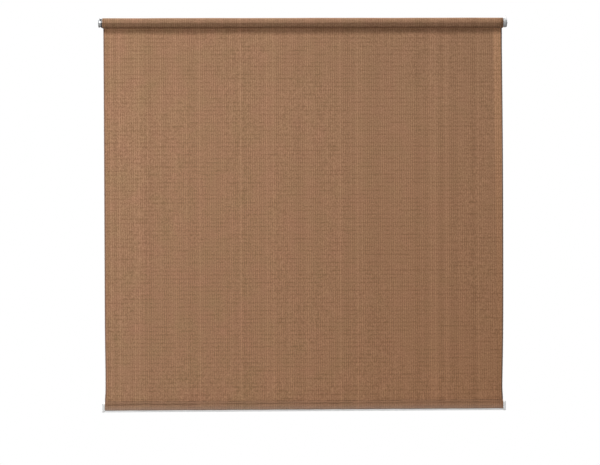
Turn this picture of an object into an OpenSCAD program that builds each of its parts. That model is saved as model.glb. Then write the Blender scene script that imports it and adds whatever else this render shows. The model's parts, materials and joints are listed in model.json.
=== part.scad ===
// Outdoor spring roller shade: two wall brackets, a spring roller with the cloth wound on it,
// the hanging cloth and a weighted bottom rail. Millimetres, +Z up, the room side faces -Y.
// The origin lies on the wall, at the centre of the four bracket screw holes.

/* [Cloth] */
// Width of the cloth, edge to edge
cloth_w = 1829; // [900:1:2440]
// Height of the hanging cloth, from the roller axis to the hem seam
panel_drop = 1728; // [800:1:2400]
// Thickness of the plain ground of the cloth
ground_t = 0.5; // [0.4:0.05:0.7]
// Distance between the knitted chains that run down the front
chain_pitch = 10; // [8:0.5:16]
// Width of a chain where it joins the ground
chain_w = 4.4; // [3:0.1:6]
// Height of a chain above the ground
chain_h = 0.3; // [0.2:0.05:0.4]
// Distance between the laid-in rows that cross the back
row_pitch = 18.4; // [14:0.2:26]
// Width of a row where it joins the ground
row_w = 7; // [4:0.5:10]
// Height of a row above the ground
row_h = 0.2; // [0.1:0.05:0.3]
// Width of the dense selvedge along each side of the cloth
selvedge_w = 6; // [4:0.5:12]

/* [Roller] */
// Outer diameter of the roller tube
tube_d = 41; // [38:0.5:50]
// Wall of the roller tube
tube_wall = 1.5; // [1.2:0.1:2]
// Length of bare tube past each edge of the cloth
tube_bare = 1; // [1:0.5:6]
// Width of the slot that leads the cloth into the groove
groove_slot = 2; // [1.6:0.1:2.4]
// Turns of cloth left on the tube when the shade is down
roll_turns = 3; // [2:0.25:5]

/* [Brackets] */
// Distance from the wall to the roller axis
axis_out = 40; // [38:1:60]
// Distance from the middle of the screw holes down to the roller axis
axis_drop = 8; // [4:1:12]
// Room between the end of the tube and the bracket
end_room = 14.5; // [14.5:0.5:24]
// Thickness of the bracket sheet
sheet_t = 2.5; // [2:0.25:3]
// Radius of the rounded nose around the roller axis
nose_r = 19; // [16:0.5:24]
// Height of the wall flange above the middle of the screw holes
flange_rise = 20; // [18:1:30]
// Height of the wall flange below the middle of the screw holes
flange_drop = 19; // [18:1:26]
// Width of the flange on the wall
flange_w = 34; // [28:1:46]
// Inner radius of the bend
bend_r = 2; // [1:0.25:3]
// Diameter of a screw hole
screw_d = 5.5; // [4:0.1:7]
// Distance between the two screw holes of a bracket
screw_gap = 26; // [20:1:28]
// Height of the lug on the pin bracket, above its flange
lug_h = 8; // [4:0.5:12]
// Width of the lug's top
lug_w = 6; // [4:0.5:10]

/* [Spring end] */
// Length of a plug inside the tube
plug_l = 45; // [42:1:60]
// Thickness of the drive plug's flange
drive_flange_t = 6; // [4:0.5:8]
// Height of the flat blade that keeps the spindle from turning
blade_h = 10; // [8:0.5:12]
// Thickness of the flat blade
blade_t = 4; // [3:0.25:5]
// Step from the spindle up to the drum under the brake spring
drum_step = 2; // [1.5:0.25:3]
// Wall of the spindle bush
bush_wall = 2; // [1.5:0.25:3]
// Length of the spindle bush
bush_l = 14; // [10:1:16]
// Room between the lift spring and the groove inside the tube
lift_room = 1.5; // [1:0.1:2]
// Length of the lift spring
lift_l = 400; // [300:10:560]
// Turns of the lift spring
lift_turns = 34; // [24:1:40]

/* [Pin end] */
// Width of the collar between the tube and the bracket
collar_w = 12; // [10:0.5:14]
// Diameter of the bearing pin
pin_d = 6; // [5:0.25:7]
// Distance that the pin can be pressed in
pin_travel = 8; // [7.5:0.25:9]
// Wire of the pin spring
pin_wire = 1; // [0.8:0.05:1.2]

/* [Bottom rail] */
// Height of the hollow body of the rail
rail_h = 34; // [26:1:44]
// Thickness of the hollow body of the rail
rail_t = 12; // [10:0.5:16]
// Wall of the rail
rail_wall = 1.4; // [1:0.1:2]
// Height of the lip that shows below the hem
lip_h = 9; // [6:0.5:14]
// Thickness of the lip
lip_t = 5; // [4:0.25:6]
// Length of bare rail past each edge of the cloth
rail_bare = 4; // [2:0.5:6]
// Thickness of an end cap
cap_t = 8; // [5:0.5:9]
// Height of the sewn seam above the rail
seam_h = 6; // [4:0.5:10]

/* [Hidden] */
$fn = 64;

CLOTH = "#987458";
ZINC = "#c3c5c4";
ALUMINIUM = "#b4b7ba";
BLACK_NYLON = "#26241f";
GREY_NYLON = "#8f9193";
STEEL = "#8b8e92";
BRONZE = "#b08a4e";
PALE_GREY = "#d3d4d3";

// Clearances: a press fit, a running fit, a loose fit, a coil on its seat and the roller's end float
press_gap = 0.02;
run_gap = 0.06;
loose_gap = 0.15;
coil_gap = 0.5;
end_gap = 0.5;
// A cut that runs this far past the face it opens
past = 1;

// The roll: the turns lie on the tube, each a cloth's thickness and a little air further out
turn_t = ground_t + chain_h;
turn_air = 0.08;
turn_pitch = turn_t + turn_air;
roll_core_r = tube_d / 2 + loose_gap;
roll_in_r = roll_core_r + turn_pitch * roll_turns;
turn_steps = 48;
groove_angle = 360 * roll_turns;
groove_wall = 1;
groove_skin = 1.1;
// The groove takes an eighth of the tube
groove_d = tube_d / 8;
groove_r = tube_d / 2 - groove_skin - groove_d / 2;
boss_d = groove_d + 2 * groove_wall;
boss_in_r = groove_r - boss_d / 2;
spline_d = groove_d - 2 * loose_gap;
tube_bore = tube_d - 2 * tube_wall;

// Stations along X, counted outwards from the middle of the shade
cloth_end = cloth_w / 2;
tube_end = cloth_end + tube_bare;
drive_face = tube_end + drive_flange_t;
collar_face = tube_end + collar_w;
bracket_in = tube_end + end_room;
bracket_out = bracket_in + sheet_t;
plug_in = tube_end - plug_l;
plug_d = tube_bore - 2 * loose_gap;
collar_step = 0.5;
collar_d = tube_d - 2 * collar_step;

// The bracket's outline
bracket_foot = -axis_drop - nose_r;
shoulder_y = 6;
flange_corner_r = 5;
screw_x = bracket_out - flange_w / 2;

// The spring end, which fills the round inside the groove: the rod takes a third of the lift spring,
// and the brake coil fills half of the room between the drum and the plug's chamber
lift_d = 2 * (boss_in_r - lift_room);
rod_d = lift_d / 3;
lift_wire = rod_d / 3;
lift_bore = lift_d - 2 * lift_wire;
chamber_wall = 1.2;
chamber_d = 2 * (boss_in_r - loose_gap - chamber_wall);
drum_d = (rod_d + chamber_d) / 2;
spindle_d = drum_d - 2 * drum_step;
bush_d = spindle_d + 2 * bush_wall;
bush_in = drive_face - bush_l;
head_d = 24;
drum_l = 24;
drum_out = bush_in - end_gap;
drum_in = drum_out - drum_l;
rod_grip = 16;
rod_out = drum_in + rod_grip;
blade_past = 4;
brake_bore = drum_d + coil_gap;
brake_wire = (chamber_d - brake_bore) / 4;
brake_turns = 8;
hub_gap = 3;
hub_flange_t = 4;
hub_flange_d = lift_d + coil_gap;
boss_l = 22;
hub_face = plug_in - hub_gap - hub_flange_t;
spring_seat_d = lift_bore - 2 * coil_gap;
carrier_face = hub_face - 2 * loose_gap - lift_l;
carrier_l = 20;
carrier_in = carrier_face - carrier_l;
clip_t = 1.2;
clip_rim = 3.5;
clip_bite = 0.8;
clip_d = rod_d + 2 * clip_rim;
clip_seat_d = rod_d - 2 * clip_bite;
clip_x = carrier_in - loose_gap - clip_t;
rod_tail = 4;
rod_in = clip_x - rod_tail;
hub_pin_d = 3;
hub_pin_inset = 4;
hub_pin_x = hub_face - boss_l + hub_pin_inset;
hub_pin_l = spring_seat_d - coil_gap;

// The pin end
pin_collar_rim = 2;
pin_collar_d = pin_d + 2 * pin_collar_rim;
pin_collar_t = 4;
pin_bore = pin_collar_d + coil_gap;
pin_guide_step = 0.5;
pin_guide_d = pin_d - 2 * pin_guide_step;
pin_guide_l = 12;
pin_tip = bracket_in - end_gap + pin_travel;
front_wall = 6;
cup_depth = 4;
cup_rim = 4.5;
cup_d = collar_d - 2 * cup_rim;
pin_shoulder = collar_face - cup_depth - front_wall;
stop_t = 3;
stop_rim = 2;
stop_d = pin_bore + 2 * stop_rim;
pin_spring_out = pin_shoulder - pin_collar_t - loose_gap;
pin_spring_in = plug_in + stop_t + loose_gap;
pin_spring_bore = pin_guide_d + 2 * coil_gap;
pin_spring_turns = 9;
tip_chamfer = 1;

// The hanging cloth and the rail
panel_front = -axis_out + roll_in_r;
ground_front = panel_front + chain_h;
ground_back = ground_front + ground_t;
ground_mid = (ground_front + ground_back) / 2;
panel_top = -axis_drop;
panel_foot = panel_top - panel_drop;
chains = round(cloth_w / chain_pitch);
rows = round(panel_drop / row_pitch);
rail_y = ground_mid;
rail_top = panel_foot - seam_h;
sleeve_gap = 0.2;
sleeve_in = sleeve_gap;
sleeve_out = sleeve_gap + turn_t;
rail_body_top = rail_top - sleeve_out;
rail_mid = rail_body_top - rail_h / 2;
rail_end = cloth_end + rail_bare;
cap_lap = 1.6;
cap_chamfer = 2;
cap_stub_l = 18;

// Puts the children on the roller axis
module on_axis() {
    translate([0, -axis_out, -axis_drop]) children();
}

// A round bar along X
module bar(d, from, to) {
    translate([from, 0, 0]) rotate([0, 90, 0]) cylinder(d = d, h = to - from);
}

// A (Y, Z) profile carried along X
module along_x(from, to) {
    translate([from, 0, 0]) rotate([90, 0, 90]) linear_extrude(to - from) children();
}

// A coiled wire along X, from its outermost point at one end to that at the other
module coil(bore, wire, from, to, turns, steps, sides) {
    rings = turns * steps;
    mean_r = (bore + wire) / 2;
    travel = to - from - wire;
    points = [
        for (i = [0:rings], k = [0:sides - 1])
            let (
                turn = 360 * i / steps,
                side = 360 * k / sides,
                r = mean_r + wire / 2 * cos(side)
            )
            [from + wire / 2 * (1 + sin(side)) + travel * i / rings, r * cos(turn), r * sin(turn)]
    ];
    skin = [
        for (i = [0:rings - 1], k = [0:sides - 1], half = [0, 1])
            let (
                a = i * sides + k,
                b = i * sides + (k + 1) % sides
            )
            half == 0 ? [a, b, a + sides] : [b, b + sides, a + sides]
    ];
    first = [for (k = [sides - 1:-1:0]) k];
    last = [for (k = [0:sides - 1]) rings * sides + k];
    polyhedron(points = points, faces = concat([first], skin, [last]), convexity = 10);
}

// A flat outline with two round ends, h high and t wide, grown all round by a margin
module pill(h, t, margin = 0) {
    r = t / 2 + margin;
    for (z = [-1, 1] * (h - t) / 2) translate([0, z]) circle(r);
    square([2 * r, h - t], center = true);
}

// The same outline as a plate along X whose outer edge is bevelled
module bevelled_pill(h, t, thick, bevel) {
    reach = (h - t) / 2;
    edge = [[0, 0], [t / 2, 0], [t / 2, thick - bevel], [t / 2 - bevel, thick], [0, thick]];
    rotate([90, 0, 90]) {
        for (z = [-reach, reach]) translate([0, z, 0]) rotate_extrude() polygon(edge);
        for (side = [0, 1]) mirror([side, 0, 0])
            translate([0, reach, 0]) rotate([90, 0, 0]) linear_extrude(2 * reach) polygon(edge);
    }
}

// Where a line from a point touches a circle round c: above for side 1, below for side -1
function touch(p, c, r, side) =
    let (
        d = p - c,
        a = atan2(d[1], d[0]) + side * acos(r / norm(d))
    )
    c + r * [cos(a), sin(a)];

// The bracket's side, in Y and Z: a square edge at the wall, a round nose at the roller and a lug on top
module bracket_side(lug) {
    nose = [-axis_out, -axis_drop];
    shoulder = [-shoulder_y, flange_rise];
    heel = [-shoulder_y, -flange_drop];
    lug_back = shoulder + [-lug, lug];
    lug_front = lug_back - [lug_w, 0];
    rise = lug > 0 ? [shoulder, lug_back, lug_front] : [shoulder];
    translate(nose) circle(nose_r);
    polygon(concat(
        [[0, -flange_drop], [0, flange_rise]],
        rise,
        [touch(rise[len(rise) - 1], nose, nose_r, 1), nose, touch(heel, nose, nose_r, -1), heel]
    ));
}

// The bent sheet seen from above, in X and Y
module bracket_plan() {
    outer_r = bend_r + sheet_t;
    depth = axis_out + nose_r;
    difference() {
        union() {
            translate([bracket_in, -depth]) square([sheet_t, depth]);
            translate([bracket_out - flange_w, -sheet_t]) square([flange_w, sheet_t]);
            translate([bracket_in - bend_r, -outer_r]) square(bend_r);
        }
        translate([bracket_in - bend_r, -outer_r]) circle(bend_r);
        translate([bracket_out - outer_r, -outer_r]) difference() {
            square(outer_r + past);
            circle(outer_r);
        }
    }
}

// The flange and the side's edge seen from the room, in X and Z, with the two free corners rounded
module bracket_face(height) {
    left = bracket_out - flange_w;
    low = flange_corner_r - flange_drop;
    high = flange_rise - flange_corner_r;
    translate([left + flange_corner_r, bracket_foot]) square([flange_w, height]);
    translate([left, low]) square([flange_w, high - low]);
    for (z = [low, high])
        translate([left + flange_corner_r, z]) circle(flange_corner_r);
}

// A bracket for the right-hand end; the children are cut out of its side
module bracket(lug = 0) {
    depth = axis_out + nose_r + past;
    height = flange_rise + lug - bracket_foot;
    difference() {
        intersection() {
            translate([0, 0, bracket_foot]) linear_extrude(height) bracket_plan();
            along_x(bracket_out - flange_w, bracket_out) bracket_side(lug);
            rotate([90, 0, 0]) linear_extrude(depth) bracket_face(height);
        }
        for (z = [-1, 1] * screw_gap / 2)
            translate([screw_x, past, z]) rotate([90, 0, 0]) cylinder(d = screw_d, h = sheet_t + 2 * past);
        along_x(bracket_in - past, bracket_out + past) children();
    }
}

module bracket_left() {
    slot = [blade_t, blade_h] + 2 * [loose_gap, loose_gap];
    color(ZINC) mirror([1, 0, 0]) bracket()
        translate([-axis_out, -axis_drop]) square(slot, center = true);
}

module bracket_right() {
    color(ZINC) bracket(lug_h) translate([-axis_out, -axis_drop]) circle(d = pin_d + 2 * run_gap);
}

// The fixed spindle: a flat blade in the bracket's slot, a head, a journal and the brake drum
module spindle() {
    color(STEEL) mirror([1, 0, 0]) on_axis() difference() {
        union() {
            translate([bracket_in - end_gap - past, -blade_t / 2, -blade_h / 2])
                cube([sheet_t + end_gap + past + blade_past, blade_t, blade_h]);
            bar(head_d, drive_face + end_gap, bracket_in - end_gap);
            bar(spindle_d, drum_out, drive_face + end_gap);
            bar(drum_d, drum_in, drum_out);
        }
        bar(rod_d + 2 * press_gap, drum_in - past, rod_out);
    }
}

module spindle_bush() {
    color(BRONZE) mirror([1, 0, 0]) on_axis() difference() {
        bar(bush_d, bush_in, drive_face);
        bar(spindle_d + 2 * run_gap, bush_in - past, drive_face + past);
    }
}

// A plug that keys onto the groove inside the tube
module plug(from, to) {
    difference() {
        bar(plug_d, from, to);
        rotate([groove_angle, 0, 0]) translate([0, groove_r, 0])
            bar(boss_d + 2 * loose_gap, from - past, to + past);
    }
}

module drive_plug() {
    color(BLACK_NYLON) mirror([1, 0, 0]) on_axis() difference() {
        union() {
            plug(plug_in, tube_end);
            bar(collar_d, tube_end, drive_face);
        }
        bar(chamber_d, plug_in - past, bush_in);
        bar(bush_d + 2 * press_gap, bush_in - past, drive_face + past);
    }
}

// The brake: a coil that grips the drum and turns with the plug
module brake_spring() {
    color(STEEL) mirror([1, 0, 0]) on_axis()
        coil(brake_bore, brake_wire, drum_in + end_gap, drum_out - end_gap, brake_turns, 24, 6);
}

// The fixed rod, cross-drilled for the hub's pin and grooved for the clip
module spring_rod() {
    color(STEEL) mirror([1, 0, 0]) on_axis() difference() {
        bar(rod_d, rod_in, rod_out);
        translate([hub_pin_x, 0, 0])
            cylinder(d = hub_pin_d + 2 * press_gap, h = rod_d + past, center = true);
        difference() {
            bar(rod_d + past, clip_x, clip_x + clip_t);
            bar(clip_seat_d, clip_x - past, clip_x + clip_t + past);
        }
    }
}

// The fixed hub that holds the near end of the lift spring on the rod
module spring_hub() {
    color(BLACK_NYLON) mirror([1, 0, 0]) on_axis() difference() {
        union() {
            bar(hub_flange_d, hub_face, hub_face + hub_flange_t);
            bar(spring_seat_d, hub_face - boss_l, hub_face);
        }
        bar(rod_d + 2 * press_gap, hub_face - boss_l - past, hub_face + hub_flange_t + past);
        translate([hub_pin_x, 0, 0])
            cylinder(d = hub_pin_d + 2 * press_gap, h = spring_seat_d + past, center = true);
    }
}

module hub_pin() {
    color(STEEL) mirror([1, 0, 0]) on_axis()
        translate([hub_pin_x, 0, 0]) cylinder(d = hub_pin_d, h = hub_pin_l, center = true);
}

module lift_spring() {
    color(STEEL) mirror([1, 0, 0]) on_axis()
        coil(lift_bore, lift_wire, carrier_face + loose_gap, hub_face - loose_gap, lift_turns, 12, 5);
}

// The driven plug at the far end of the lift spring, keyed in the tube and running on the rod
module spring_carrier() {
    color(BLACK_NYLON) mirror([1, 0, 0]) on_axis() difference() {
        union() {
            plug(carrier_in, carrier_face);
            bar(spring_seat_d, carrier_face, carrier_face + boss_l);
        }
        bar(rod_d + 2 * run_gap, carrier_in - past, carrier_face + boss_l + past);
    }
}

// The open ring that keeps the carrier on the rod
module rod_clip() {
    inner_d = clip_seat_d + 2 * press_gap;
    mouth = inner_d - 2 * clip_bite;
    color(STEEL) mirror([1, 0, 0]) on_axis() difference() {
        bar(clip_d, clip_x + press_gap, clip_x + clip_t - press_gap);
        bar(inner_d, clip_x - past, clip_x + clip_t + past);
        translate([clip_x - past, -mouth / 2, -clip_d]) cube([clip_t + 2 * past, mouth, clip_d]);
    }
}

// The tube's section: a round wall with an open groove for the spline
module tube_section() {
    difference() {
        union() {
            difference() {
                circle(d = tube_d);
                circle(d = tube_bore);
            }
            rotate(groove_angle) translate([groove_r, 0]) circle(d = boss_d);
        }
        rotate(groove_angle) translate([groove_r, 0]) circle(d = groove_d);
        rotate(groove_angle) translate([groove_r, -groove_slot / 2]) square([tube_d, groove_slot]);
    }
}

module roller_tube() {
    color(ALUMINIUM) on_axis() along_x(-tube_end, tube_end) tube_section();
}

module cloth_spline() {
    color(PALE_GREY) on_axis() rotate([groove_angle, 0, 0]) translate([0, groove_r, 0])
        bar(spline_d, -cloth_end, cloth_end);
}

// A point of the roll at so many degrees of winding, counted inwards from the hanging cloth
function on_roll(a, t) = (roll_in_r + t - turn_pitch * a / 360) * [cos(a), sin(a)];

// The wound cloth: one strip in turns, whose inner end dips through the tube's slot
module cloth_roll() {
    step = 360 / turn_steps;
    winding = 360 * roll_turns;
    tail_r = groove_r + spline_d / 2 + loose_gap;
    color(CLOTH) on_axis() along_x(-cloth_end, cloth_end) {
        polygon(concat(
            [for (a = [0:step:winding]) on_roll(a, turn_t)],
            [for (a = [winding:-step:0]) on_roll(a, 0)]
        ));
        rotate(groove_angle) translate([tail_r, -turn_t / 2])
            square([roll_core_r + turn_t / 2 - tail_r, turn_t]);
    }
}

// The pin plug: a wide collar with a cupped face and a stepped bore for the sprung pin
module idle_plug() {
    color(GREY_NYLON) on_axis() difference() {
        union() {
            plug(plug_in, tube_end);
            bar(collar_d, tube_end, collar_face);
        }
        bar(cup_d, collar_face - cup_depth, collar_face + past);
        bar(pin_bore, plug_in - past, pin_shoulder);
        bar(pin_d + 2 * run_gap, pin_shoulder - past, collar_face);
        bar(stop_d + 2 * press_gap, plug_in - past, plug_in + stop_t);
    }
}

module idle_pin() {
    color(STEEL) on_axis() {
        bar(pin_guide_d, pin_shoulder - pin_collar_t - pin_guide_l, pin_shoulder);
        bar(pin_collar_d, pin_shoulder - pin_collar_t, pin_shoulder);
        bar(pin_d, pin_shoulder, pin_tip - tip_chamfer);
        translate([pin_tip - tip_chamfer, 0, 0]) rotate([0, 90, 0])
            cylinder(d1 = pin_d, d2 = pin_d - 2 * tip_chamfer, h = tip_chamfer);
    }
}

module pin_spring() {
    color(STEEL) on_axis()
        coil(pin_spring_bore, pin_wire, pin_spring_in, pin_spring_out, pin_spring_turns, 16, 5);
}

module pin_stop() {
    color(GREY_NYLON) on_axis() bar(stop_d, plug_in, plug_in + stop_t);
}

// The hanging cloth: chains down the front and laid-in rows across the back of one ground
module shade_panel() {
    pitch = (cloth_w - 2 * selvedge_w) / chains;
    row_step = panel_drop / rows;
    crest = 0.4;
    front = [
        for (i = [0:chains - 1], p = [[-1, 0], [-crest, 1], [crest, 1], [1, 0]])
            [
                -cloth_end + selvedge_w + (i + 0.5) * pitch + p[0] * chain_w / 2,
                ground_front - p[1] * chain_h,
            ]
    ];
    back = [
        for (i = [0:rows - 1], p = [[-1, 0], [-crest, 1], [crest, 1], [1, 0]])
            [ground_back + p[1] * row_h, panel_foot + (i + 0.5) * row_step + p[0] * row_w / 2]
    ];
    edge = cloth_end - selvedge_w;
    color(CLOTH) {
        translate([0, 0, panel_foot]) linear_extrude(panel_drop) polygon(concat(
            [[-cloth_end, ground_mid], [-cloth_end, panel_front]],
            [[-edge, panel_front], [-edge, ground_front]],
            front,
            [[edge, ground_front], [edge, panel_front]],
            [[cloth_end, panel_front], [cloth_end, ground_mid]]
        ));
        along_x(-cloth_end, cloth_end) polygon(concat(
            [[ground_mid, panel_foot], [ground_back, panel_foot]],
            back,
            [[ground_back, panel_top], [ground_mid, panel_top]]
        ));
    }
}

// Puts a (Y, Z) outline on the middle of the rail's body
module on_rail() {
    translate([rail_y, rail_mid]) children();
}

// The lip below the rail's body, with a round lower edge
module lip_outline(margin = 0) {
    lip_r = lip_t / 2;
    translate([-lip_r - margin, -rail_h / 2 - lip_h + lip_r])
        square([lip_t + 2 * margin, lip_h]);
    translate([0, -rail_h / 2 - lip_h + lip_r]) circle(lip_r + margin);
}

// The hem: cloth sewn round the rail, open below where the lip comes through
module hem_sleeve() {
    color(CLOTH) along_x(-cloth_end, cloth_end) on_rail() {
        difference() {
            pill(rail_h, rail_t, sleeve_out);
            pill(rail_h, rail_t, sleeve_in);
            lip_outline(sleeve_gap);
        }
        translate([-turn_t, rail_h / 2 + sleeve_gap + turn_t / 2])
            square([2 * turn_t, turn_t / 2 + seam_h]);
    }
}

module bottom_rail() {
    color(PALE_GREY) along_x(-rail_end, rail_end) on_rail() difference() {
        union() {
            pill(rail_h, rail_t);
            lip_outline();
        }
        pill(rail_h, rail_t, -rail_wall);
    }
}

// An end cap for the right-hand end: a bevelled plate over the rail and lip, and a stub inside
module rail_cap() {
    cap_foot = rail_h / 2 + lip_h + cap_lap;
    cap_head = rail_h / 2 + cap_lap;
    stub_gap = rail_wall + loose_gap;
    color(PALE_GREY) translate([rail_end, rail_y, rail_mid]) {
        translate([0, 0, (cap_head - cap_foot) / 2])
            bevelled_pill(cap_head + cap_foot, rail_t + 2 * cap_lap, cap_t, cap_chamfer);
        along_x(-cap_stub_l, past) pill(rail_h, rail_t, -stub_gap);
    }
}

module rail_cap_left() {
    mirror([1, 0, 0]) rail_cap();
}

module rail_cap_right() {
    rail_cap();
}

bracket_left();
bracket_right();
spindle();
spindle_bush();
drive_plug();
brake_spring();
spring_rod();
spring_hub();
hub_pin();
lift_spring();
spring_carrier();
rod_clip();
roller_tube();
cloth_spline();
cloth_roll();
idle_plug();
idle_pin();
pin_spring();
pin_stop();
shade_panel();
hem_sleeve();
bottom_rail();
rail_cap_left();
rail_cap_right();
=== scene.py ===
"""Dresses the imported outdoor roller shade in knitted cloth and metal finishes, on a plain stage."""

import json
import math

import bpy
from mathutils import Matrix, Vector


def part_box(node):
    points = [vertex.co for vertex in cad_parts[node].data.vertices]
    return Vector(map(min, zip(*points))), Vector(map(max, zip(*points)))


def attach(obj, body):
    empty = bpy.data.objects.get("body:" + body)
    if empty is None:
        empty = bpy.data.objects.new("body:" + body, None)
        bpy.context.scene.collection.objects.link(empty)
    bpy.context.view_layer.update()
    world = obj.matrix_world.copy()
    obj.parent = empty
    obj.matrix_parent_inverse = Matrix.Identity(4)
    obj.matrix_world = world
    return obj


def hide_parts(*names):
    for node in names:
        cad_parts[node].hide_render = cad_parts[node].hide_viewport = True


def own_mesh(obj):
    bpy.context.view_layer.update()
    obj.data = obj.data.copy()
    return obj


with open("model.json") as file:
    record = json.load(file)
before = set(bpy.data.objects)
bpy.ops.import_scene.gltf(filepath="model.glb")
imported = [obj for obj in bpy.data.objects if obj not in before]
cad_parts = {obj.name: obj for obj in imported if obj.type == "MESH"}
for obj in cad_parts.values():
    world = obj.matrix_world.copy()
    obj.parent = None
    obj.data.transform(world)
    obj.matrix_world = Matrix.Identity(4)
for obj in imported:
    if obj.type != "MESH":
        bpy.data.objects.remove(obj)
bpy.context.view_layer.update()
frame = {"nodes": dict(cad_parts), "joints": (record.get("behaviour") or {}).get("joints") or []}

bl_info = {
    "name": "Outdoor roller shade",
    "version": (1, 0, 0),
    "blender": (4, 5, 0),
    "location": "3D View > Sidebar > Roller shade",
    "description": "Cloth, hem, fittings and stage for the packed roller shade",
    "category": "Object",
}

AXIS = Vector(next(j["pos_m"] for j in frame["joints"] if j["name"] == "roller_spin"))
RAIL_TRAVEL = next(j["range_m"][1] for j in frame["joints"] if j["name"] == "rail_lift")
PANEL_LOW, PANEL_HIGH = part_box("shade_panel")
ROLL_LOW, ROLL_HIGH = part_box("cloth_roll")
HEM_LOW, HEM_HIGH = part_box("hem_sleeve")
RAIL_LOW, RAIL_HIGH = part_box("bottom_rail")
SPAN = PANEL_HIGH.x - PANEL_LOW.x
DROP = PANEL_HIGH.z - PANEL_LOW.z
TURN = 2 * math.pi
WHITE = (1, 1, 1, 1)
BINDINGS = ("left_edge_binding", "right_edge_binding")
# Share of the light on the cloth that passes through it: as it hangs, as it is wound and round the rail
HUNG_THROUGH = 0.28
WOUND_THROUGH = 0.3
HEM_THROUGH = 0.05
# Colour of the cloth at its lower right corner, as a share of its colour along its left and top edges
LOWER_RIGHT_TINT = (1.0, 0.92, 0.85)


class ClothSizes(bpy.types.PropertyGroup):
    """Sizes of the knitted cloth."""

    chains: bpy.props.IntProperty(
        name="Chains", description="Knitted chains across the cloth", default=183, min=20
    )
    selvedge: bpy.props.FloatProperty(
        name="Selvedge", description="Plain edge beside the outermost chains",
        default=0.006, unit="LENGTH",
    )
    chain_height: bpy.props.FloatProperty(
        name="Chain height", description="Height of a chain above the ground",
        default=0.0003, unit="LENGTH",
    )
    rows: bpy.props.IntProperty(
        name="Rows", description="Laid-in rows down the hanging cloth", default=94, min=10
    )
    stitch: bpy.props.FloatProperty(
        name="Stitch", description="Length of one knitted stitch of a chain",
        default=0.0046, unit="LENGTH",
    )
    thickness: bpy.props.FloatProperty(
        name="Thickness", description="Thickness of the cloth over its chains",
        default=0.0008, unit="LENGTH",
    )
    ripple: bpy.props.FloatProperty(
        name="Ripple", description="Depth of the soft ripples of the hanging cloth",
        default=0.0022, unit="LENGTH",
    )
    pucker: bpy.props.FloatProperty(
        name="Pucker", description="Depth of the puckers that the hem seam draws in",
        default=0.0011, unit="LENGTH",
    )
    waist: bpy.props.FloatProperty(
        name="Waist", description="How far each side draws in above the hem",
        default=0.0025, unit="LENGTH",
    )
    curl: bpy.props.FloatProperty(
        name="Curl", description="How far the upper right edge curls to the wall",
        default=0.006, unit="LENGTH",
    )
    curl_width: bpy.props.FloatProperty(
        name="Curl width", description="Width of the curled edge", default=0.045, unit="LENGTH"
    )
    bow: bpy.props.FloatProperty(
        name="Bow", description="How far the right edge bows out halfway down",
        default=0.0055, unit="LENGTH",
    )
    binding: bpy.props.FloatProperty(
        name="Edge binding", description="Width of the overlocked edge", default=0.005, unit="LENGTH"
    )


class RollSizes(bpy.types.PropertyGroup):
    """Sizes of the wound turns and of the two flats beside the spline."""

    turns: bpy.props.IntProperty(name="Turns", description="Turns left on the tube", default=3, min=1)
    air: bpy.props.FloatProperty(
        name="Air", description="Air between two turns", default=0.00008, unit="LENGTH"
    )
    ridge: bpy.props.FloatProperty(
        name="Ridge", description="Where the spline stands out under the turns",
        default=math.radians(186), unit="ROTATION",
    )
    flat: bpy.props.FloatProperty(
        name="Flat", description="How far the cloth lies flat on each side of the ridge",
        default=math.radians(44), unit="ROTATION",
    )
    rise: bpy.props.FloatProperty(
        name="Rise", description="How far the lines beside the flats stand out of the round",
        default=0.00045, unit="LENGTH",
    )
    slack: bpy.props.FloatProperty(
        name="Slack", description="Height of the longer waves along the turns",
        default=0.00025, unit="LENGTH",
    )


class HemSizes(bpy.types.PropertyGroup):
    """Sizes of the sewn hem."""

    body: bpy.props.FloatProperty(
        name="Rail body", description="Height of the rail's body inside the hem",
        default=0.034, unit="LENGTH",
    )
    fin: bpy.props.FloatProperty(
        name="Seam height", description="Height of the sewn seam above the rail",
        default=0.006, unit="LENGTH",
    )
    lip_slot: bpy.props.FloatProperty(
        name="Lip slot", description="Width of the opening for the rail's lip",
        default=0.0054, unit="LENGTH",
    )
    gather: bpy.props.FloatProperty(
        name="Gather", description="How far the cloth gathers out below the seam",
        default=0.0008, unit="LENGTH",
    )
    gather_pitch: bpy.props.FloatProperty(
        name="Gather pitch", description="Distance between two gathers", default=0.041, unit="LENGTH"
    )
    slack: bpy.props.FloatProperty(
        name="Slack", description="How loosely the cloth lies on the rail",
        default=0.0003, unit="LENGTH",
    )
    wander: bpy.props.FloatProperty(
        name="Wander", description="How far the stitches wander up and down",
        default=0.0012, unit="LENGTH",
    )
    dent: bpy.props.FloatProperty(
        name="Dent", description="How deep the stitches pull in", default=0.00035, unit="LENGTH"
    )
    dent_width: bpy.props.FloatProperty(
        name="Dent width", description="Half the width of that dent", default=0.001, unit="LENGTH"
    )
    crease: bpy.props.FloatProperty(
        name="Crease", description="Depth of the crease across the front", default=0.0006, unit="LENGTH"
    )
    crease_width: bpy.props.FloatProperty(
        name="Crease width", description="Half the width of the crease", default=0.0016, unit="LENGTH"
    )
    lift: bpy.props.FloatProperty(
        name="Lift", description="Height of the waves of the seam's top, which stands up twice that",
        default=0.0006, unit="LENGTH",
    )
    stitch_pitch: bpy.props.FloatProperty(
        name="Stitch pitch", description="Distance between two stitches of the seam",
        default=0.005, unit="LENGTH",
    )
    stitch_length: bpy.props.FloatProperty(
        name="Stitch length", description="Length of a stitch of the seam",
        default=0.0037, unit="LENGTH",
    )
    thread: bpy.props.FloatProperty(
        name="Thread", description="Diameter of the sewing thread", default=0.0008, unit="LENGTH"
    )


def tint(name, description, red, green, blue):
    """A colour property with linear values."""
    return bpy.props.FloatVectorProperty(
        name=name, description=description, default=(red, green, blue), subtype="COLOR", min=0, max=1
    )


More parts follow.
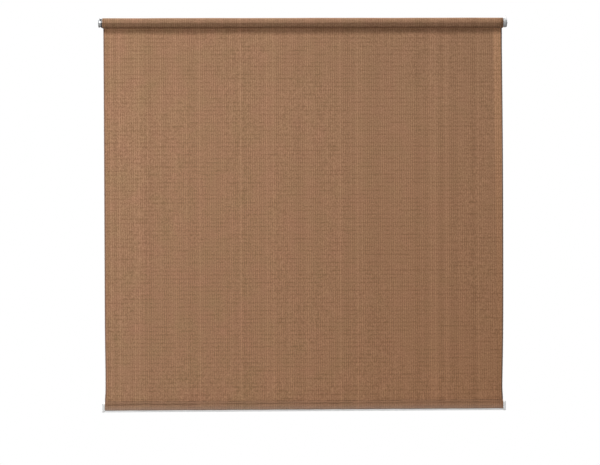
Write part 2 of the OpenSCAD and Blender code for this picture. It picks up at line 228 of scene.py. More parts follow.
class ShadeColours(bpy.types.PropertyGroup):
    """Colours of the pieces, as linear values."""

    ruddy_yarn: tint("Ruddy yarn", "Yarn on the chains where the cloth is redder", 0.482, 0.251, 0.15)
    olive_yarn: tint("Olive yarn", "Yarn on the chains where the cloth is greener", 0.44, 0.258, 0.139)
    ruddy_ground: tint(
        "Ruddy ground", "Ground between the chains where the cloth is redder", 0.265, 0.132, 0.072
    )
    olive_ground: tint(
        "Olive ground", "Ground between the chains where the cloth is greener", 0.242, 0.137, 0.066
    )
    # Lit and shaded copies of one binding colour: painted light on the left edge, painted shade on the
    # right edge
    lit_left_binding: tint("Left binding", "Overlocked left edge of the cloth", 0.27, 0.15, 0.1)
    shaded_right_binding: tint("Right binding", "Overlocked right edge of the cloth", 0.085, 0.047, 0.034)
    thread: tint("Thread", "Sewing thread of the hem", 0.1, 0.055, 0.032)
    # Painted shade: the darker colour of the hem's seam fold, crease and lower edge
    seam: tint("Seam", "Cloth in the folds of the hem", 0.14, 0.07, 0.037)
    zinc: tint("Zinc", "Galvanised brackets", 0.4, 0.405, 0.41)
    steel: tint("Steel", "Springs, spindle and pins", 0.42, 0.43, 0.44)
    bronze: tint("Bronze", "Spindle bush", 0.5, 0.31, 0.13)
    aluminium: tint("Aluminium", "Roller tube", 0.38, 0.385, 0.39)
    black_nylon: tint("Black nylon", "Plugs of the spring end", 0.014, 0.012, 0.013)
    grey_nylon: tint("Grey nylon", "Plug of the pin end", 0.4, 0.41, 0.41)
    spline: tint("Spline", "Plastic spline in the tube's groove", 0.6, 0.6, 0.58)
    rail: tint("Rail", "Powder coat of the bottom rail", 0.88, 0.885, 0.88)
    cap: tint("End cap", "Moulded end caps of the rail", 0.9, 0.905, 0.9)


class StageSettings(bpy.types.PropertyGroup):
    """Camera, lamps and floor."""

    camera_across: bpy.props.FloatProperty(
        name="Camera across", description="Camera to the right of the middle",
        default=-0.1077, unit="LENGTH",
    )
    camera_away: bpy.props.FloatProperty(
        name="Camera away", description="Camera in front of the wall", default=6.0, unit="LENGTH"
    )
    camera_height: bpy.props.FloatProperty(
        name="Camera height", description="Camera above the screw holes", default=-0.942, unit="LENGTH"
    )
    camera_turn: bpy.props.FloatProperty(
        name="Camera turn", description="Turn to the left",
        default=math.radians(-0.865), unit="ROTATION",
    )
    camera_tilt: bpy.props.FloatProperty(
        name="Camera tilt", description="Tilt upwards", default=math.radians(-0.22), unit="ROTATION"
    )
    camera_lean: bpy.props.FloatProperty(
        name="Camera lean", description="Lean about the line of sight",
        default=math.radians(-0.226), unit="ROTATION",
    )
    lens: bpy.props.FloatProperty(
        name="Lens", description="Focal length on a 36 mm sensor", default=78.18, unit="CAMERA"
    )
    floor_drop: bpy.props.FloatProperty(
        name="Floor drop", description="Floor below the rail", default=0.5, unit="LENGTH"
    )
    sky: bpy.props.FloatProperty(name="Sky", description="Even light from all round", default=0.11)
    front_lamp: bpy.props.FloatProperty(
        name="Front lamp", description="Soft lamp in front, upper left", default=300, unit="POWER"
    )
    back_lamp: bpy.props.FloatProperty(
        name="Back lamp", description="Soft lamp behind the cloth, on the left",
        default=222, unit="POWER",
    )
    top_lamp: bpy.props.FloatProperty(
        name="Top lamp", description="Long lamp overhead", default=520, unit="POWER"
    )
    side_lamp: bpy.props.FloatProperty(
        name="Side lamp", description="Weak soft lamp at the upper right", default=4, unit="POWER"
    )


class ShadeSettings(bpy.types.PropertyGroup):
    """Everything that the panel offers."""

    cloth: bpy.props.PointerProperty(type=ClothSizes)
    roll: bpy.props.PointerProperty(type=RollSizes)
    hem: bpy.props.PointerProperty(type=HemSizes)
    colours: bpy.props.PointerProperty(type=ShadeColours)
    stage: bpy.props.PointerProperty(type=StageSettings)


class Value:
    """A node's output that takes part in Python expressions; each operation adds its Math node."""

    def __init__(self, nodes, socket):
        self.nodes = nodes
        self.socket = socket

    def out(self, name):
        """Another output of the same node."""
        return Value(self.nodes, self.socket.node.outputs[name])

    def math(self, operation, *others):
        return self.nodes.add("ShaderNodeMath", {"operation": operation}, dict(enumerate((self, *others))))

    def after(self, operation, other):
        return self.nodes.add("ShaderNodeMath", {"operation": operation}, {0: other, 1: self})

    def __add__(self, other):
        return self.math("ADD", other)

    __radd__ = __add__

    def __sub__(self, other):
        return self.math("SUBTRACT", other)

    def __rsub__(self, other):
        return self.after("SUBTRACT", other)

    def __mul__(self, other):
        return self.math("MULTIPLY", other)

    __rmul__ = __mul__

    def __truediv__(self, other):
        return self.math("DIVIDE", other)

    def __rtruediv__(self, other):
        return self.after("DIVIDE", other)

    def __abs__(self):
        return self.math("ABSOLUTE")

    def part(self):
        """What is left above the whole number."""
        return self.math("FRACT")

    def whole(self):
        """The whole number below."""
        return self.math("FLOOR")

    def held(self):
        """The value kept between 0 and 1."""
        return self.math("MINIMUM", 1.0).math("MAXIMUM", 0.0)

    def wave(self):
        """A cosine that comes round once in every whole number."""
        return (self * TURN).math("COSINE")


class Nodes:
    """A node tree that is filled through add()."""

    def __init__(self, tree):
        self.tree = tree
        tree.nodes.clear()

    def add(self, kind, settings=None, inputs=None, output=0):
        """Adds a node of that kind: first its settings, then the values or links of its inputs."""
        node = self.tree.nodes.new(kind)
        for key, setting in (settings or {}).items():
            setattr(node, key, setting)
        for key, given in (inputs or {}).items():
            if isinstance(given, Value):
                self.tree.links.new(given.socket, node.inputs[key])
            else:
                node.inputs[key].default_value = given
        return Value(self, node.outputs[output] if node.outputs else None)

    def place(self, scale=(1, 1, 1)):
        """Where a point lies on the piece, in metres times a scale for each axis."""
        spot = self.add("ShaderNodeTexCoord", output="Object")
        if tuple(scale) == (1, 1, 1):
            return spot
        return self.add("ShaderNodeVectorMath", {"operation": "MULTIPLY"}, {0: spot, 1: scale})

    def mix(self, share, first, second):
        """A colour between two colours."""
        return self.add("ShaderNodeMix", {"data_type": "RGBA"}, {0: share, 6: first, 7: second}, 2)

    def noise(self, place, scale, detail):
        return self.add("ShaderNodeTexNoise", None, {"Vector": place, "Scale": scale, "Detail": detail})

    def noise_along(self, line, scale, detail):
        """Noise that changes along one line only."""
        return self.add(
            "ShaderNodeTexNoise", {"noise_dimensions": "1D"}, {"W": line, "Scale": scale, "Detail": detail}
        )

    def bump(self, height, depth, strength):
        return self.add("ShaderNodeBump", None, {"Height": height, "Distance": depth, "Strength": strength})

    def surface(self, **inputs):
        """A Principled shader; underscores in the names stand for spaces."""
        named = {key.replace("_", " "): given for key, given in inputs.items()}
        return self.add("ShaderNodeBsdfPrincipled", None, named)

    def blend(self, share, first, second):
        """A shader between two shaders."""
        return self.add("ShaderNodeMixShader", None, {0: share, 1: first, 2: second})


def finish(name, build):
    """A new material whose nodes build() adds; build returns the shader."""
    material = bpy.data.materials.new(name)
    material.use_nodes = True
    nodes = Nodes(material.node_tree)
    shader = build(nodes)
    nodes.add("ShaderNodeOutputMaterial", None, {"Surface": shader})
    return material


def rgba(colour, level=1.0):
    return (*(channel * level for channel in colour), 1.0)


def seen_directly(nodes):
    """1 for what the camera, a reflection or clear glass sees, and 0 for light on the object."""
    path = nodes.add("ShaderNodeLightPath", output="Is Camera Ray")
    seen = path.math("MAXIMUM", path.out("Is Glossy Ray")).math("MAXIMUM", path.out("Is Transmission Ray"))
    return seen * (1 - path.out("Is Diffuse Ray"))


def chain_pitch(cloth):
    return (SPAN - 2 * cloth.selvedge) / cloth.chains


def row_pitch(cloth):
    return DROP / cloth.rows


def cloth_finish(name, settings, through, wound=False, hemmed=False):
    """Knitted shade cloth: chains down its length, laid-in rows across and uneven yarn.

    through is the share of the light on it that passes through.
    """
    cloth, colours = settings.cloth, settings.colours

    def build(nodes):
        spot = nodes.place()
        across = nodes.add("ShaderNodeSeparateXYZ", None, {0: spot})
        height = across.out("Z")
        length = height
        if wound:
            turned = (height - AXIS.z).math("ARCTAN2", across.out("Y") - AXIS.y)
            length = turned * (ROLL_HIGH.y - AXIS.y)
        chain = (across - (PANEL_LOW.x + cloth.selvedge)) / chain_pitch(cloth)
        crest = 1 - abs(chain.part() * 2 - 1)
        yarn = nodes.add("ShaderNodeTexWhiteNoise", {"noise_dimensions": "1D"}, {"W": chain.whole()})
        bright_chain = yarn.math("GREATER_THAN", 0.88)
        streak = nodes.noise_along(across, scale=16, detail=3)
        patch = nodes.noise(spot, scale=9, detail=3)
        loose = nodes.noise(spot, scale=21, detail=2)
        dash = nodes.noise(nodes.place((1, 1, 4)), scale=16, detail=2)
        fleck = nodes.noise(nodes.place((1, 1, 0.7)), scale=210, detail=2)
        row = (length / row_pitch(cloth)).wave() * 0.5 + 0.5
        thin_row = row * row * row
        stitch = (length / cloth.stitch + yarn).wave()
        chain_tone = (crest - 0.5) * (1.1 - loose * 1.5)
        yarn_tone = (yarn - 0.5) * 0.16 + bright_chain * 0.08 + (streak - 0.5) * 0.3
        row_tone = thin_row * (dash * 2.6 - 0.85) * 0.44
        tone = 0.5 + chain_tone + yarn_tone + (fleck - 0.5) * 1.9 - row_tone
        # The hue is more uneven to the left
        warm = (patch - 0.5) * (1.3 - across * 0.75) + 0.5
        ground = nodes.mix(warm, rgba(colours.olive_ground), rgba(colours.ruddy_ground))
        top = nodes.mix(warm, rgba(colours.olive_yarn), rgba(colours.ruddy_yarn))
        colour = nodes.mix(tone, ground, top)
        if not wound:
            colour = deeper_to_lower_right(nodes, across, colour)
        if hemmed:
            colour = hem_colour_with_fold_shade(nodes, settings, across, colour)
        elif not wound:
            colour = painted_edge_highlight(nodes, across, colour)
        relief = crest + stitch * crest * 0.35 + thin_row * 0.5 + fleck * 0.4
        normal = nodes.bump(relief, cloth.chain_height, strength=0.8)
        face = nodes.surface(
            Base_Color=colour, Roughness=0.75 - crest * 0.12, Normal=normal, Specular_IOR_Level=0.25
        )
        back = nodes.add("ShaderNodeBsdfTranslucent", None, {"Color": colour, "Normal": normal})
        return nodes.blend(through, face, back)

    return finish(name, build)


def line_at(height, line, width):
    """1 at the height of a line, down to 0 a width above and below it."""
    return (1 - abs(height - line) / width).held()


def deeper_to_lower_right(nodes, across, colour):
    """Colour of the cloth: deeper and more orange towards the lower right."""
    lower_right_share = (across - PANEL_LOW.x) * (PANEL_HIGH.z - across.out("Z")) / (SPAN * DROP)
    deep = nodes.add("ShaderNodeVectorMath", {"operation": "MULTIPLY"}, {0: colour, 1: LOWER_RIGHT_TINT})
    return nodes.mix(lower_right_share, colour, deep)


def painted_edge_highlight(nodes, across, colour):
    """Colour of the hanging cloth: a painted highlight along its right edge, where the edge curls and
    catches the lamps.
    """
    above_hem = across.out("Z") - PANEL_LOW.z
    width = above_hem * 0.013 + 0.02
    sharpness = 5
    # Painted highlight: the right edge is made paler, widest near the top
    highlight_share = (sharpness + (across - PANEL_HIGH.x) * sharpness / width).held()
    gain = 1 + highlight_share * (above_hem * 0.2 + 0.04)
    return nodes.add("ShaderNodeVectorMath", {"operation": "SCALE"}, {0: colour, "Scale": gain})


def hem_colour_with_fold_shade(nodes, settings, across, colour):
    """Colour of the hem: painted shade in its seam fold, crease and lower edge, and the rail showing a
    little through it lower down.
    """
    hem, colours = settings.hem, settings.colours
    height = across.out("Z")
    # Painted shade: the seam fold, the crease and the hem's lower edge are darkened towards the seam colour
    seam = line_at(height, seam_line(hem, across) - hem.fin, width=0.011) * 0.5
    crease = line_at(height, crease_line(hem, across), width=0.0035) * crease_depth(across).held() * 0.8
    edge = line_at(height, HEM_LOW.z, width=0.006) * 0.3
    painted_fold_shade = seam.math("MAXIMUM", crease).math("MAXIMUM", edge)
    stretched = ((RAIL_HIGH.z - height) / hem.body).held()
    see_through = stretched * stretched * 0.12
    lined = nodes.mix(see_through, colour, rgba(colours.rail))
    return nodes.mix(painted_fold_shade, lined, rgba(colours.seam))


def thread_finish(name, colour):
    """Twisted polyester thread."""

    def build(nodes):
        twist = nodes.noise(nodes.place((1, 0.3, 0.3)), scale=900, detail=1)
        tone = nodes.mix(twist, rgba(colour, 0.7), rgba(colour, 1.3))
        normal = nodes.bump(twist, depth=0.0002, strength=0.5)
        return nodes.surface(Base_Color=tone, Roughness=0.55 + twist * 0.2, Normal=normal)

    return finish(name, build)


def zinc_finish(name, colour):
    """Galvanised sheet: faint spangle, soft handling marks."""

    def build(nodes):
        spangle = nodes.add("ShaderNodeTexVoronoi", None, {"Vector": nodes.place(), "Scale": 190}, "Color")
        shade = nodes.add("ShaderNodeSeparateColor", None, {0: spangle})
        marks = nodes.noise(nodes.place(), scale=60, detail=4)
        tone = nodes.mix(shade * 0.4 + marks * 0.6, rgba(colour, 0.8), rgba(colour, 1.15))
        roughness = 0.4 + shade * 0.14 + marks * 0.1
        normal = nodes.bump(marks, depth=0.0002, strength=0.3)
        return nodes.surface(Base_Color=tone, Metallic=0.35, Roughness=roughness, Normal=normal)

    return finish(name, build)


def drawn_metal_finish(name, colour, lines, roughness):
    """Bare metal with fine lines along the roller, as drawn wire, turned bar and extruded tube have."""

    def build(nodes):
        line = nodes.noise(nodes.place(lines), scale=1, detail=3)
        cloud = nodes.noise(nodes.place(), scale=35, detail=3)
        tone = nodes.mix(line * 0.6 + cloud * 0.4, rgba(colour, 0.75), rgba(colour, 1.2))
        uneven = roughness + (line - 0.5) * 0.25
        normal = nodes.bump(line, depth=0.0001, strength=0.4)
        return nodes.surface(Base_Color=tone, Metallic=1.0, Roughness=uneven, Normal=normal)

    return finish(name, build)


def moulded_finish(name, colour, roughness):
    """Moulded plastic: fine spark-eroded grain and a slightly uneven skin."""

    def build(nodes):
        grain = nodes.noise(nodes.place(), scale=1500, detail=2)
        cloud = nodes.noise(nodes.place(), scale=45, detail=3)
        tone = nodes.mix(cloud * 0.7 + grain * 0.3, rgba(colour, 0.85), rgba(colour, 1.12))
        uneven = roughness + (cloud - 0.5) * 0.2
        normal = nodes.bump(grain, depth=0.00012, strength=0.35)
        return nodes.surface(Base_Color=tone, Roughness=uneven, Normal=normal)

    return finish(name, build)


def powder_coat_finish(name, colour):
    """Powder coat on the rail: orange peel and a little dust along it."""

    def build(nodes):
        peel = nodes.noise(nodes.place(), scale=650, detail=2)
        dust = nodes.noise(nodes.place((1, 6, 6)), scale=12, detail=4)
        tone = nodes.mix(dust, rgba(colour, 0.88), rgba(colour, 1.08))
        normal = nodes.bump(peel, depth=0.00015, strength=0.4)
        return nodes.surface(Base_Color=tone, Metallic=0.1, Roughness=0.4 + dust * 0.2, Normal=normal)

    return finish(name, build)


def new_piece(name, points, faces, body, material):
    """A smooth mesh piece, parented to an empty named after a CAD body."""
    mesh = bpy.data.meshes.new(name)
    mesh.from_pydata(points, [], faces)
    mesh.materials.append(material)
    mesh.shade_smooth()
    mesh.update()
    piece = bpy.data.objects.new(name, mesh)
    bpy.context.scene.collection.objects.link(piece)
    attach(piece, body)
    return piece


def between(low, high, count):
    """count + 1 numbers from low to high."""
    return [low + (high - low) * i / count for i in range(count + 1)]


def shorten(piece):
    """Gives a hanging piece its own mesh; the share of it kept with the rail up is worked out but not used.
    """
    1 - RAIL_TRAVEL / DROP
    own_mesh(piece)


def grid_faces(columns, rows):
    """Quads over columns x rows points that are stored row by row, from the top down."""
    faces = []
    for j in range(rows - 1):
        for i in range(columns - 1):
            a = j * columns + i
            faces.append((a + columns, a + columns + 1, a + 1, a))
    return faces


def tube_faces(rings, sides, first=0):
    """Faces of a closed tube whose rings of points are stored one after the other."""
    faces = []
    for j in range(rings - 1):
        for k in range(sides):
            a, b = first + j * sides + k, first + j * sides + (k + 1) % sides
            faces.append((a, b, b + sides, a + sides))
    last = first + (rings - 1) * sides
    faces.append(tuple(first + k for k in range(sides))[::-1])
    faces.append(tuple(last + k for k in range(sides)))
    return faces


def wrapped_strip(stations, skin):
    """Points and faces of a closed thin strip along X.

    skin(x) gives its outer and its inner line as (y, z) points.
    """
    points = []
    size = 0
    for x in stations:
        outer, inner = skin(x)
        size = len(outer)
        points += [(x, y, z) for y, z in outer + inner[::-1]]
    ring = 2 * size
    faces = []
    for s in range(len(stations) - 1):
        for k in range(ring):
            a, b = s * ring + k, s * ring + (k + 1) % ring
            faces.append((a, b, b + ring, a + ring))
    last = (len(stations) - 1) * ring
    for k in range(size - 1):
        near = (k, ring - 1 - k, ring - 2 - k, k + 1)
        faces.append(near)
        faces.append(tuple(last + p for p in near[::-1]))
    return points, faces


def smooth_step(value):
    value = min(max(value, 0.0), 1.0)
    return value * value * (3 - 2 * value)


def sine(angle):
    """The sine of a number or of a node's output."""
    return angle.math("SINE") if isinstance(angle, Value) else math.sin(angle)


def seam_wave(x):
    """From -1 to 1: how the hem seam wanders along the rail."""
    long_wave = sine(TURN * x / 0.231 + 0.6)
    middle_wave = sine(TURN * x / 0.094 + 2.0)
    short_wave = sine(TURN * x / 0.053)
    return 0.5 * long_wave + 0.3 * middle_wave + 0.2 * short_wave


def drape(cloth, x, z):
    """How far the hanging cloth stands off its plane to the wall at a point, and how far it draws in."""
    half = PANEL_HIGH.x
    down = (PANEL_HIGH.z - z) / DROP
    above_hem = smooth_step((1 - down) / 0.1)
    free = math.sin(math.pi * min(max(down, 0), 1)) ** 0.7 * above_hem
    long_wave = math.sin(TURN * x / 0.83 + 0.7 + 1.3 * down)
    short_wave = math.sin(TURN * x / 0.47 + 2.1 - 0.9 * down)
    off = cloth.ripple * free * (1.6 + long_wave + 0.6 * short_wave)
    off += cloth.pucker * seam_wave(x) * math.exp(-(1 - down) * DROP / 0.05)
    below_roll = smooth_step((down - 0.015) / 0.05)
    stronger_above = 0.35 + 0.65 * smooth_step((0.35 - down) / 0.3)
    at_edge = max(0.0, (x - half + cloth.curl_width) / cloth.curl_width)
    off += cloth.curl * at_edge ** 2 * below_roll * stronger_above * above_hem
    at_waist = math.exp(-(((down - 0.95) / 0.1) ** 2)) * smooth_step((1 - down) / 0.03)
    inward = cloth.waist * at_waist * x / half
    inward -= cloth.bow * free * max(x / half, 0) ** 2
    return off, inward


class HangingCloth(bpy.types.Operator):
    """Makes the hanging cloth with its chains, rows, ripples and curled edge"""

    bl_idname = "roller_shade.hanging_cloth"
    bl_label = "Hanging cloth"

    def execute(self, context):
        settings = context.scene.roller_shade
        cloth = settings.cloth
        edge = PANEL_HIGH.x - cloth.selvedge
        across = [PANEL_LOW.x, PANEL_LOW.x + cloth.selvedge / 2]
        across += between(-edge, edge, 2 * cloth.chains)
        across += [PANEL_HIGH.x - cloth.selvedge / 2, PANEL_HIGH.x]
        tuck = cloth.thickness * 2
        down = between(PANEL_HIGH.z, PANEL_LOW.z, 2 * cloth.rows) + [PANEL_LOW.z - tuck]
        middle = PANEL_LOW.y + cloth.thickness / 2
        points = []
        for j, z in enumerate(down):
            row_rise = 0.2 * cloth.chain_height * (j % 2)
            for i, x in enumerate(across):
                on_chain = (i - 2) % 2 and 2 <= i < len(across) - 2
                off, inward = drape(cloth, x, z)
                relief = cloth.chain_height if on_chain else 0
                points.append((x - inward, middle + off - relief + row_rise, z))
        faces = grid_faces(len(across), len(down))
        material = cloth_finish("hanging_cloth", settings, HUNG_THROUGH)
        piece = new_piece("hanging_cloth", points, faces, "brackets", material)
        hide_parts("shade_panel")
        shorten(piece)
        return {"FINISHED"}


class EdgeBindings(bpy.types.Operator):
    """Makes the overlocked edges down both sides of the hanging cloth"""

    bl_idname = "roller_shade.edge_bindings"
    bl_label = "Edge bindings"

    def execute(self, context):
        settings = context.scene.roller_shade
        cloth = settings.cloth
        sides = 10
        down = between(PANEL_HIGH.z, PANEL_LOW.z, 2 * cloth.rows)
        middle = PANEL_LOW.y + cloth.thickness / 2
        # The left edge gets the painted lit copy of the binding colour, the right edge the painted shaded
        # copy
        tints = (settings.colours.lit_left_binding, settings.colours.shaded_right_binding)
        for name, edge, colour in zip(BINDINGS, (PANEL_LOW.x, PANEL_HIGH.x), tints):
            x_mid = edge - math.copysign(cloth.binding / 2, edge)
            points = []
            for j, z in enumerate(down):
                off, inward = drape(cloth, x_mid, z)
                swell = 1 + 0.12 * (j % 2)
                for k in range(sides):
                    turn = TURN * k / sides
                    x = x_mid - inward + cloth.binding / 2 * swell * math.cos(turn)
                    points.append((x, middle + off + cloth.thickness * swell * math.sin(turn), z))
            faces = tube_faces(len(down), sides)
            piece = new_piece(name, points, faces, "brackets", thread_finish(name, colour))
            shorten(piece)
        return {"FINISHED"}


class WoundCloth(bpy.types.Operator):
    """Makes the turns of cloth on the tube, flat on both sides of the spline"""

    bl_idname = "roller_shade.wound_cloth"
    bl_label = "Wound cloth"

    def execute(self, context):
        settings = context.scene.roller_shade
        cloth, roll = settings.cloth, settings.roll
        steps = 64
        stations = 96
        pitch = cloth.thickness + roll.air
        core = ROLL_HIGH.y - AXIS.y - cloth.thickness
        half = roll.flat / 2
        spread = math.radians(13)

        def mark(angle):
            """How far the round is raised or flattened at an angle of the turn."""
            past = abs(angle % TURN - roll.ridge)
            if past < roll.flat:
                return (core + roll.rise) * math.cos(half) / math.cos(past - half) - core
            return roll.rise * math.exp(-(((past - roll.flat) / spread) ** 2))

        def skin(x):
            long_wave = math.sin(TURN * x / 0.61 + 0.4)
            short_wave = math.sin(TURN * x / 0.23)
            slack = roll.slack * (long_wave + 0.6 * short_wave)
            outer, inner = [], []
            for i in range(roll.turns * steps + 1):
                angle = TURN * i / steps
                depth = i / (roll.turns * steps)
                raised = mark(angle)
                radius = core - pitch * i / steps + (raised + slack) * (1 - depth)
                pressed = min(raised, 0) / roll.turns
                for line, r in ((outer, radius + cloth.thickness), (inner, radius - pressed)):
                    line.append((AXIS.y + r * math.cos(angle), AXIS.z + r * math.sin(angle)))
            return outer, inner

        points, faces = wrapped_strip(between(ROLL_LOW.x, ROLL_HIGH.x, stations), skin)
        material = cloth_finish("wound_cloth", settings, WOUND_THROUGH, wound=True)
        piece = new_piece("wound_cloth", points, faces, "roller", material)
        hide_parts("cloth_roll")
        return {"FINISHED"}


def hem_middle(hem):
    """The middle of the rail's body in Y and Z."""
    return (HEM_LOW.y + HEM_HIGH.y) / 2, RAIL_HIGH.z - hem.body / 2


def seam_line(hem, x):
    """Height of the row of stitches at a place along the rail."""
    return HEM_HIGH.z - hem.fin * 0.36 + hem.wander * seam_wave(x)


def crease_line(hem, x):
    """Height of the crease across the front of the hem at a place along the rail."""
    lowest = RAIL_HIGH.z - hem.body * 0.3
    rise = 0.0035 * (1 + sine(1.4 * x + 0.35))
    wander = 0.004 * seam_wave(0.7 * x + 0.31)
    return lowest + rise + wander


def crease_depth(x):
    """How deep the crease is at a place along the rail: nothing below 0, all of it above 1."""
    return 1.2 + 2.2 * seam_wave(0.31 * x - 0.2)


class SewnHem(bpy.types.Operator):
    """Makes the hem that is folded round the rail and sewn above it"""

    bl_idname = "roller_shade.sewn_hem"
    bl_label = "Sewn hem"

    def execute(self, context):
        settings = context.scene.roller_shade
        cloth, hem = settings.cloth, settings.hem
        y_mid, z_mid = hem_middle(hem)
        round_r = (HEM_HIGH.y - HEM_LOW.y) / 2
        reach = (hem.body - RAIL_HIGH.y + RAIL_LOW.y) / 2
        fin_half = cloth.thickness
        fin_top = HEM_HIGH.z - z_mid
        lip_turn = math.asin(hem.lip_slot / 2 / round_r)
        foot = fin_top - 0.7 * hem.fin
        leaned = math.atan2(fin_half, foot - reach)
        tent_turn = leaned + math.acos(round_r / math.hypot(fin_half, foot - reach))
        lower_steps = 8
        side_steps = 24
        upper_steps = 6
        tent_steps = 5
        seam_steps = 6
        stations = 366

        # Half the line round the rail as (y, z, normal), from the lip to the seam's top, then its mirror
        profile = []
        for turn in between(lip_turn, math.pi / 2, lower_steps):
            normal = (-math.sin(turn), -math.cos(turn))
            profile.append((normal[0] * round_r, -reach + normal[1] * round_r, normal))
        for z in between(-reach, reach, side_steps)[1:-1]:
            profile.append((-round_r, z, (-1, 0)))
        for turn in between(math.pi / 2, tent_turn, upper_steps):
            normal = (-math.sin(turn), math.cos(turn))
            profile.append((normal[0] * round_r, reach + normal[1] * round_r, normal))
        tent_y, tent_z = profile[-1][:2]
        for up in between(0, 1, tent_steps)[1:-1]:
            profile.append((tent_y + (-fin_half - tent_y) * up, tent_z + (foot - tent_z) * up, normal))
        for z in between(foot, fin_top, seam_steps):
            profile.append((-fin_half, z, (-1, 0)))
        profile += [(-y, z, (-n[0], n[1])) for y, z, n in profile[::-1]]

        def skin(x):
            wave = seam_wave(x)
            fold = 0.5 + 0.5 * math.sin(TURN * x / hem.gather_pitch + 1.5 * wave)
            creased = smooth_step(crease_depth(x))
            outer, inner = [], []
            for y, z, normal in profile:
                on_fin = smooth_step((z - foot) / (fin_top - foot))
                on_arc = smooth_step((z - reach) / (foot - reach)) * (1 - on_fin)
                stitched = math.exp(-(((z + z_mid - seam_line(hem, x)) / hem.dent_width) ** 2))
                crease = creased * math.exp(-(((z + z_mid - crease_line(hem, x)) / hem.crease_width) ** 2))
                swell = hem.gather * fold * on_arc + hem.slack * (1 + wave) * (1 - on_arc) * (1 - on_fin)
                swell -= hem.dent * stitched + hem.crease * crease
                sway = cloth.pucker * wave * on_fin
                lift = hem.lift * (2 + wave) * on_fin
                thin = max(swell, 0.0) - cloth.thickness
                for line, off in ((outer, swell), (inner, thin)):
                    line.append((y_mid + y + normal[0] * off + sway, z_mid + z + normal[1] * off + lift))
            return outer, inner

        points, faces = wrapped_strip(between(HEM_LOW.x, HEM_HIGH.x, stations), skin)
        material = cloth_finish("sewn_hem", settings, HEM_THROUGH, hemmed=True)
        piece = new_piece("sewn_hem", points, faces, "hem_rail", material)
        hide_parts("hem_sleeve")
        return {"FINISHED"}


class HemStitches(bpy.types.Operator):
    """Makes the row of stitches on both faces of the hem seam"""

    bl_idname = "roller_shade.hem_stitches"
    bl_label = "Hem stitches"

    def execute(self, context):
        settings = context.scene.roller_shade
        cloth, hem = settings.cloth, settings.hem
        y_mid, _ = hem_middle(hem)
        count = int((HEM_HIGH.x - HEM_LOW.x) / hem.stitch_pitch) - 1
        sides = 6
        # Where each ring of a stitch lies along it, and its width as a share of the thread's
        rings = ((-0.5, 0.35), (-0.3, 0.9), (0.0, 1.0), (0.3, 0.9), (0.5, 0.35))
        points, faces = [], []
        for face in (-1, 1):
            for i in range(count):
                x_mid = HEM_LOW.x + (i + 1) * hem.stitch_pitch
                y = y_mid + cloth.pucker * seam_wave(x_mid) * 0.8 + face * cloth.thickness
                first = len(points)
                for along, swell in rings:
                    x = x_mid + along * hem.stitch_length
                    z = seam_line(hem, x)
                    r = hem.thread / 2 * swell
                    dip = face * hem.thread * 0.5 * (1 - abs(along) * 1.6)
                    for k in range(sides):
                        turn = TURN * k / sides
                        points.append((x, y + dip + r * math.cos(turn), z + r * math.sin(turn)))
                faces += tube_faces(len(rings), sides, first)
        material = thread_finish("thread", settings.colours.thread)
        new_piece("hem_stitches", points, faces, "hem_rail", material)
        return {"FINISHED"}


def paint(material, *names):
    """Gives CAD nodes a finish."""
    for name in names:
        for slot in frame["nodes"][name].material_slots:
            slot.link = "OBJECT"
            slot.material = material


class Fittings(bpy.types.Operator):
    """Gives the brackets, tube, springs, plugs, rail and end caps their finishes"""

    bl_idname = "roller_shade.fittings"
    bl_label = "Fittings"

    def execute(self, context):
        colours = context.scene.roller_shade.colours
        wire_lines = (60, 900, 900)
        tube_lines = (3, 700, 700)
        zinc = zinc_finish("galvanised_sheet", colours.zinc)
        steel = drawn_metal_finish("spring_steel", colours.steel, wire_lines, roughness=0.34)
        bronze = drawn_metal_finish("bush_bronze", colours.bronze, wire_lines, roughness=0.42)
        aluminium = drawn_metal_finish("tube_aluminium", colours.aluminium, tube_lines, roughness=0.38)
        black_nylon = moulded_finish("black_nylon", colours.black_nylon, roughness=0.5)
        grey_nylon = moulded_finish("grey_nylon", colours.grey_nylon, roughness=0.5)
        spline = moulded_finish("spline_plastic", colours.spline, roughness=0.55)
        coat = powder_coat_finish("rail_coat", colours.rail)
        cap = moulded_finish("cap_plastic", colours.cap, roughness=0.48)
        paint(zinc, "bracket_left", "bracket_right")
        paint(steel, "spindle", "spring_rod", "hub_pin", "rod_clip", "idle_pin")
        paint(steel, "brake_spring", "lift_spring", "pin_spring")
        paint(bronze, "spindle_bush")
        paint(aluminium, "roller_tube")
        paint(black_nylon, "drive_plug", "spring_hub", "spring_carrier")
        paint(grey_nylon, "idle_plug", "pin_stop")
        paint(spline, "cloth_spline")
        paint(coat, "bottom_rail")
        paint(cap, "rail_cap_left", "rail_cap_right")
        return {"FINISHED"}


def soft_lamp(name, power, size, place, aim):
    """An area lamp at a place, turned to what it lights."""
    lamp = bpy.data.lights.new(name, "AREA")
    lamp.shape = "RECTANGLE"
    lamp.size, lamp.size_y = size
    lamp.energy = power
    holder = bpy.data.objects.new(name, lamp)
    holder.location = place
    holder.rotation_euler = (Vector(aim) - Vector(place)).to_track_quat("-Z", "Y").to_euler()
    bpy.context.scene.collection.objects.link(holder)


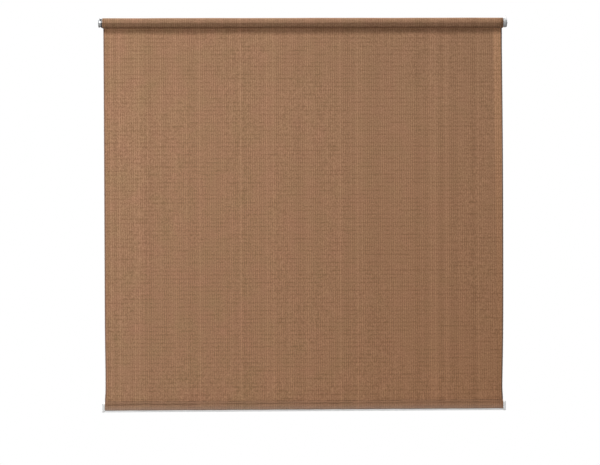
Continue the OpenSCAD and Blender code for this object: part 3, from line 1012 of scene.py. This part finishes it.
class Stage(bpy.types.Operator):
    """Sets the camera, the lamps, the white surroundings and the floor"""

    bl_idname = "roller_shade.stage"
    bl_label = "Stage"

    def execute(self, context):
        scene = context.scene
        stage = scene.roller_shade.stage
        scene.view_settings.view_transform = "Standard"
        self.add_camera(scene, stage)
        self.add_surroundings(scene, stage)
        self.add_floor(scene, stage)
        middle = (PANEL_HIGH + PANEL_LOW) / 2
        upper_right = (0.75, AXIS.y, -0.25)
        soft_lamp("front_lamp", stage.front_lamp, size=(1.6, 1.6), place=(-2.7, -5.0, 3.0), aim=middle)
        soft_lamp("back_lamp", stage.back_lamp, size=(2.4, 2.4), place=(-2.2, 3.6, 0.6), aim=middle)
        soft_lamp("top_lamp", stage.top_lamp, size=(3.0, 0.3), place=(-0.6, -0.15, 6.5), aim=AXIS)
        soft_lamp("side_lamp", stage.side_lamp, size=(0.6, 0.6), place=(1.9, -1.6, 0.5), aim=upper_right)
        return {"FINISHED"}

    def add_camera(self, scene, stage):
        camera = bpy.data.cameras.new("camera")
        camera.sensor_width = 36
        camera.lens = stage.lens
        holder = bpy.data.objects.new("camera", camera)
        level = math.pi / 2
        turn = Matrix.Rotation(stage.camera_turn, 4, "Z")
        tilt = Matrix.Rotation(level + stage.camera_tilt, 4, "X")
        lean = Matrix.Rotation(stage.camera_lean, 4, "Z")
        place = Matrix.Translation((stage.camera_across, -stage.camera_away, stage.camera_height))
        holder.matrix_world = place @ (turn @ tilt) @ lean
        scene.collection.objects.link(holder)
        scene.camera = holder

    def add_surroundings(self, scene, stage):
        """White where it is seen, and an even grey as a light."""
        scene.world = bpy.data.worlds.new("surroundings")
        scene.world.use_nodes = True
        nodes = Nodes(scene.world.node_tree)
        light = nodes.add("ShaderNodeBackground", None, {"Color": WHITE, "Strength": stage.sky})
        white = nodes.add("ShaderNodeBackground", None, {"Color": WHITE, "Strength": 1.0})
        shown = nodes.blend(seen_directly(nodes), light, white)
        nodes.add("ShaderNodeOutputWorld", None, {"Surface": shown})

    def add_floor(self, scene, stage):
        """A plain pale floor that is nearly white where it is seen and keeps the shade's shadow."""
        height = RAIL_LOW.z - stage.floor_drop
        near, far, half = -4.0, 1.3, 4.0
        pale_grey = (0.42, 0.42, 0.42, 1)
        white_share = 0.7
        corners = [(-half, near, height), (half, near, height), (half, far, height), (-half, far, height)]
        mesh = bpy.data.meshes.new("floor")
        mesh.from_pydata(corners, [], [(0, 1, 2, 3)])

        def build(nodes):
            pale = nodes.add("ShaderNodeBsdfDiffuse", None, {"Color": pale_grey})
            white = nodes.add("ShaderNodeEmission", None, {"Color": WHITE, "Strength": 1.0})
            return nodes.blend(seen_directly(nodes) * white_share, pale, white)

        mesh.materials.append(finish("floor", build))
        floor = bpy.data.objects.new("floor", mesh)
        scene.collection.objects.link(floor)


PIECES = (Stage, EdgeBindings, HangingCloth, WoundCloth, HemStitches, SewnHem, Fittings)


class ShadePanel(bpy.types.Panel):
    """Lists the pieces of the shade"""

    bl_idname = "VIEW3D_PT_roller_shade"
    bl_label = "Roller shade"
    bl_space_type = "VIEW_3D"
    bl_region_type = "UI"
    bl_category = "Roller shade"

    def draw(self, context):
        for piece in PIECES:
            self.layout.operator(piece.bl_idname)


CLASSES = (ClothSizes, RollSizes, HemSizes, ShadeColours, StageSettings, ShadeSettings, *PIECES, ShadePanel)


def register():
    for cls in CLASSES:
        bpy.utils.register_class(cls)
    bpy.types.Scene.roller_shade = bpy.props.PointerProperty(type=ShadeSettings)


def unregister():
    del bpy.types.Scene.roller_shade
    for cls in reversed(CLASSES):
        bpy.utils.unregister_class(cls)


def main():
    register()
    bpy.ops.roller_shade.stage()
    bpy.ops.roller_shade.edge_bindings()
    bpy.ops.roller_shade.hanging_cloth()
    bpy.ops.roller_shade.wound_cloth()
    bpy.ops.roller_shade.hem_stitches()
    bpy.ops.roller_shade.sewn_hem()
    bpy.ops.roller_shade.fittings()


if __name__ == "__main__":
    main()
